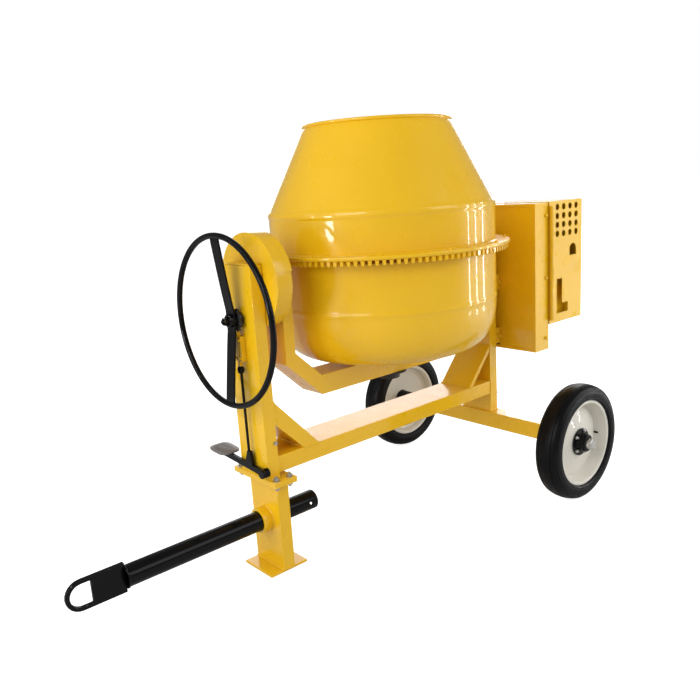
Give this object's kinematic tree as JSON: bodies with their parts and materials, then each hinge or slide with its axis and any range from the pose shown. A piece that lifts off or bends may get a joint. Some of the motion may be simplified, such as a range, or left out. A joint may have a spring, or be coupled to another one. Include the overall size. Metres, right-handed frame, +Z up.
{
  "type": "concrete mixer",
  "caption": "Towable tilting-drum concrete mixer: drum on a U-shaped yoke, tipped by a geared handwheel with a pedal lock, driven by a belt and ring gear.",
  "frame": {"origin": "centre of the base of the whole machine's bounding box, on the floor", "axes": "+X from the tow eye to the motor, +Y across to the pedal's side, +Z up"},
  "size_m": [2.0072, 0.9686, 1.313],
  "materials": {
    "yellow_paint": "glossy warm yellow paint on steel",
    "black_paint": "semi-gloss black paint",
    "cream_paint": "satin off-white paint",
    "grey_paint": "satin grey paint",
    "bright_steel": "bright zinc-plated or ground steel",
    "cast_iron": "raw cast iron",
    "tyre_rubber": "matt black rubber",
    "belt_rubber": "matt black rubber"
  },
  "bodies": {
    "chassis": {"front_column": "yellow_paint", "column_flange": "yellow_paint", "leg_flange": "yellow_paint", "support_leg": "yellow_paint", "foot_plate": "yellow_paint", "tow_sleeve": "yellow_paint", "main_beam": "yellow_paint", "front_brace": "yellow_paint", "rear_brace": "yellow_paint", "rear_column": "yellow_paint", "axle_beam": "yellow_paint", "stub_axle_near": "bright_steel", "stub_axle_far": "bright_steel", "flange_bolt_1": "bright_steel", "flange_bolt_2": "bright_steel", "flange_bolt_3": "bright_steel", "flange_bolt_4": "bright_steel", "front_trunnion_bearing": "cast_iron", "rear_trunnion_bearing": "cast_iron", "handwheel_sleeve": "cast_iron", "gear_guard": "yellow_paint", "gear_hood": "yellow_paint", "belt_case": "yellow_paint", "motor_plate": "yellow_paint", "case_bracket_lower": "yellow_paint", "case_bracket_upper": "yellow_paint", "motor_body": "grey_paint", "v_belt": "belt_rubber", "lock_guide": "yellow_paint", "pedal_pin": "black_paint", "hood_hinge": "yellow_paint"},
    "yoke": {"yoke_frame": "yellow_paint", "front_trunnion": "bright_steel", "rear_trunnion": "bright_steel", "tilt_gear": "cast_iron", "spindle_housing": "cast_iron"},
    "drum": {"drum_bowl": "yellow_paint", "drum_cone": "yellow_paint", "ring_gear": "yellow_paint", "drum_spindle": "cast_iron", "mixing_blade_1": "yellow_paint", "mixing_blade_2": "yellow_paint"},
    "drive_line": {"drive_shaft": "bright_steel", "drive_pinion": "cast_iron", "driven_pulley": "cast_iron"},
    "rotor": {"motor_rotor": "cast_iron"},
    "handwheel_set": {"handwheel": "black_paint", "handwheel_shaft": "bright_steel", "tilt_pinion": "cast_iron", "lock_disc": "cast_iron"},
    "pedal": {"pedal_arm": "black_paint", "pedal_pad": "grey_paint"},
    "lock": {"lock_rod": "black_paint"},
    "tow_bar": {"tow_tube": "black_paint", "tow_hitch": "black_paint"},
    "near_wheel": {"tyre_near": "tyre_rubber", "wheel_near": "cream_paint"},
    "far_wheel": {"tyre_far": "tyre_rubber", "wheel_far": "cream_paint"},
    "hood": {"motor_hood": "yellow_paint"}
  },
  "joints": [
    {"name": "drum_tilt", "type": "hinge", "parent": "chassis", "child": "yoke", "pos_m": [0.1586, 0, 0.876], "axis": [1, 0, 0], "range_deg": [0, 135]},
    {"name": "drum_spin", "type": "hinge", "parent": "yoke", "child": "drum", "pos_m": [0.1586, 0, 0.876], "axis": [0, 0, 1], "continuous": true},
    {"name": "drive_shaft_spin", "type": "hinge", "parent": "yoke", "child": "drive_line", "pos_m": [0.6236, 0, 0.876], "axis": [1, 0, 0], "continuous": true},
    {"name": "motor_spin", "type": "hinge", "parent": "chassis", "child": "rotor", "pos_m": [0.7426, 0, 0.67], "axis": [1, 0, 0], "continuous": true},
    {"name": "handwheel_turn", "type": "hinge", "parent": "chassis", "child": "handwheel_set", "pos_m": [-0.4441, 0, 0.776], "axis": [1, 0, 0], "range_deg": [-675, 0]},
    {"name": "pedal_press", "type": "hinge", "parent": "chassis", "child": "pedal", "pos_m": [-0.4276, -0.069, 0.331], "axis": [-1, 0, 0], "range_deg": [0, 11], "stiffness_Nm_per_rad": 6, "springref_deg": -28.65},
    {"name": "lock_slide", "type": "slide", "parent": "chassis", "child": "lock", "axis": [0, 0, -1], "range_m": [0, 0.0135]},
    {"name": "tow_bar_slide", "type": "slide", "parent": "chassis", "child": "tow_bar", "axis": [1, 0, 0], "range_m": [0, 0.35]},
    {"name": "near_wheel_roll", "type": "hinge", "parent": "chassis", "child": "near_wheel", "pos_m": [0.6436, -0.423, 0.203], "axis": [0, 1, 0], "continuous": true},
    {"name": "far_wheel_roll", "type": "hinge", "parent": "chassis", "child": "far_wheel", "pos_m": [0.6436, 0.423, 0.203], "axis": [0, 1, 0], "continuous": true},
    {"name": "motor_hood_swing", "type": "hinge", "parent": "chassis", "child": "hood", "pos_m": [0.7922, -0.227, 0.573], "axis": [0, 0, -1], "range_deg": [0, 100]}
  ],
  "couplings": [
    {"joint": "drive_shaft_spin", "follows": "drum_spin", "ratio": -14},
    {"joint": "motor_spin", "follows": "drum_spin", "ratio": -67.03},
    {"joint": "handwheel_turn", "follows": "drum_tilt", "ratio": -5},
    {"joint": "lock_slide", "follows": "pedal_press", "m_per_rad": 0.069}
  ]
}
